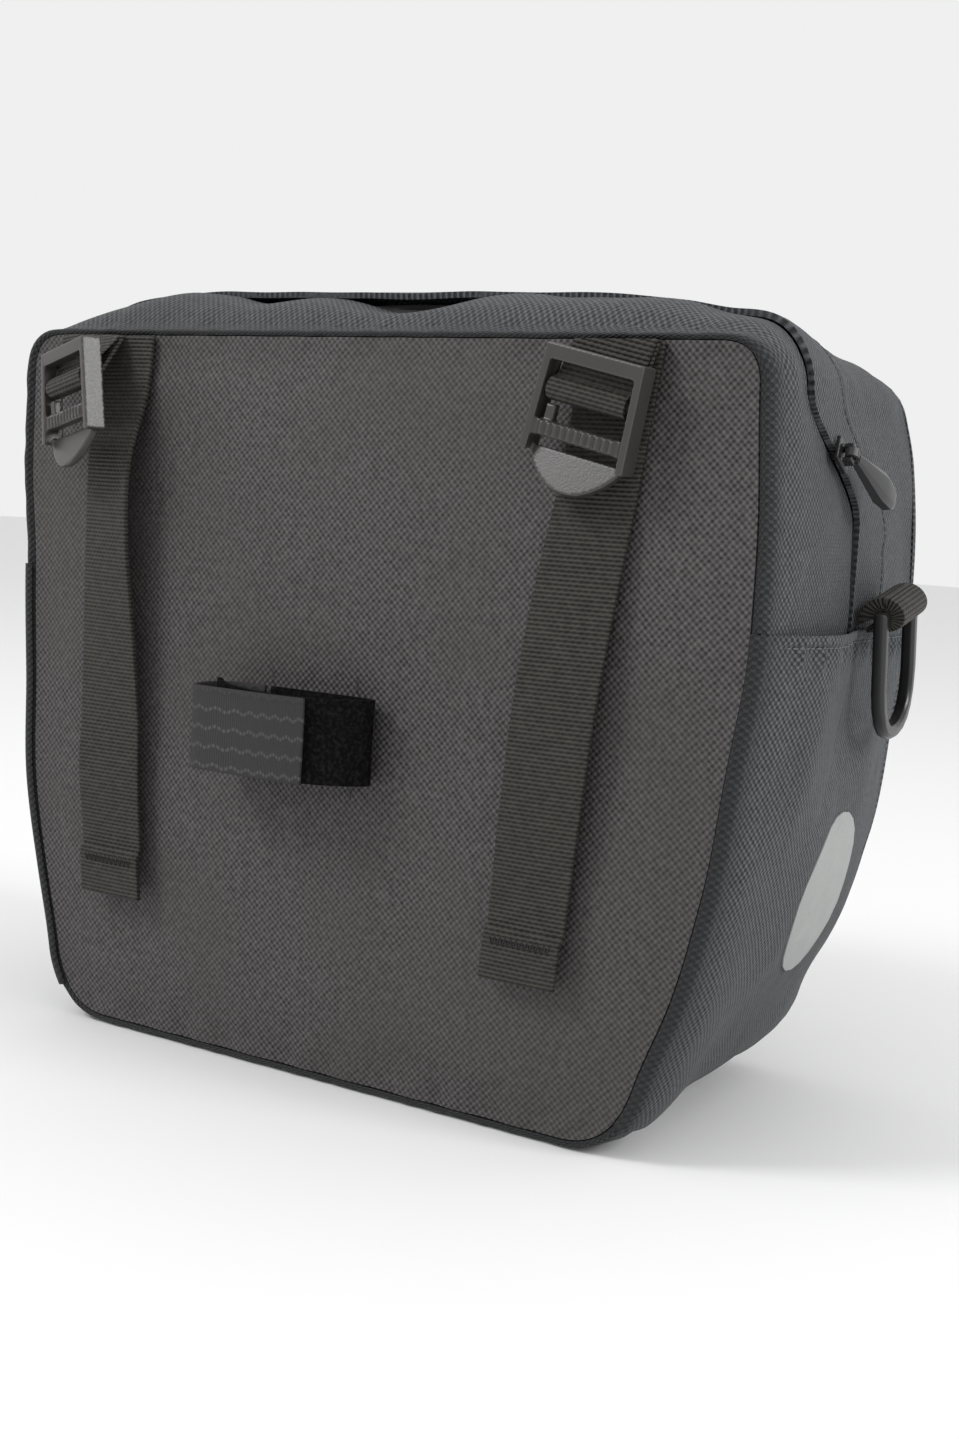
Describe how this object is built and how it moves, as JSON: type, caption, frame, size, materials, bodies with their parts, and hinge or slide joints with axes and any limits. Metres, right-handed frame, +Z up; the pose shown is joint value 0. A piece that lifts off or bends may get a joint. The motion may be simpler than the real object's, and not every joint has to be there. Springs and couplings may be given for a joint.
{
  "type": "bicycle bag",
  "caption": "Zipped box-shaped cloth handlebar bag with hanging webbing straps, ladder buckles, a fastening tape, side pockets and D-rings.",
  "frame": {"origin": "middle of the bounding box in X and Y, at the bottom of the bag", "axes": "+X to the right of the rear panel seen from behind, +Y from the rear panel to the front panel, +Z up"},
  "size_m": [0.2931, 0.1676, 0.2403],
  "materials": {
    "rear_cloth": "coarse basket weave, warm charcoal",
    "side_cloth": "coarse basket weave, bluish grey",
    "webbing": "ribbed webbing, brown black",
    "buckle": "satin moulded plastic",
    "ring": "satin moulded plastic, black",
    "pull": "satin moulded plastic",
    "slider": "black lacquered metal",
    "zip": "black tape and coil",
    "hook_tape": "grey hook tape",
    "fuzzy_tape": "black looped pile",
    "reflector": "light grey reflective film"
  },
  "bodies": {
    "bag": {"rear_panel": "rear_cloth", "front_panel": "side_cloth", "lower_gusset": "side_cloth", "rear_gusset": "side_cloth", "cover_flap": "side_cloth", "front_gusset": "side_cloth", "zip_tape": "zip", "side_pocket_right": "side_cloth", "side_pocket_left": "side_cloth", "reflector_disc": "reflector", "strap_right": "webbing", "strap_left": "webbing", "buckle_right": "buckle", "buckle_loop_right": "webbing", "buckle_left": "buckle", "buckle_loop_left": "webbing", "hook_tape": "hook_tape", "fuzzy_tape": "fuzzy_tape", "ring_loop_right": "webbing", "ring_loop_left": "webbing", "zip_slider": "slider"},
    "ring_right": {"d_ring_right": "ring"},
    "ring_left": {"d_ring_left": "ring"},
    "pull": {"zip_pull": "pull"}
  },
  "joints": [
    {"name": "ring_right_swing", "type": "hinge", "parent": "bag", "child": "ring_right", "pos_m": [0.13847, 0.02562, 0.15466], "axis": [0.1306, -0.9761, -0.1737], "range_deg": [0, 140]},
    {"name": "ring_left_swing", "type": "hinge", "parent": "bag", "child": "ring_left", "pos_m": [-0.13855, 0.02556, 0.15436], "axis": [0.1239, 0.977, 0.1736], "range_deg": [0, 140]},
    {"name": "pull_swing", "type": "hinge", "parent": "bag", "child": "pull", "pos_m": [0.13731, -0.01171, 0.19751], "axis": [0.1368, -0.4899, -0.861], "range_deg": [0, 100]}
  ]
}
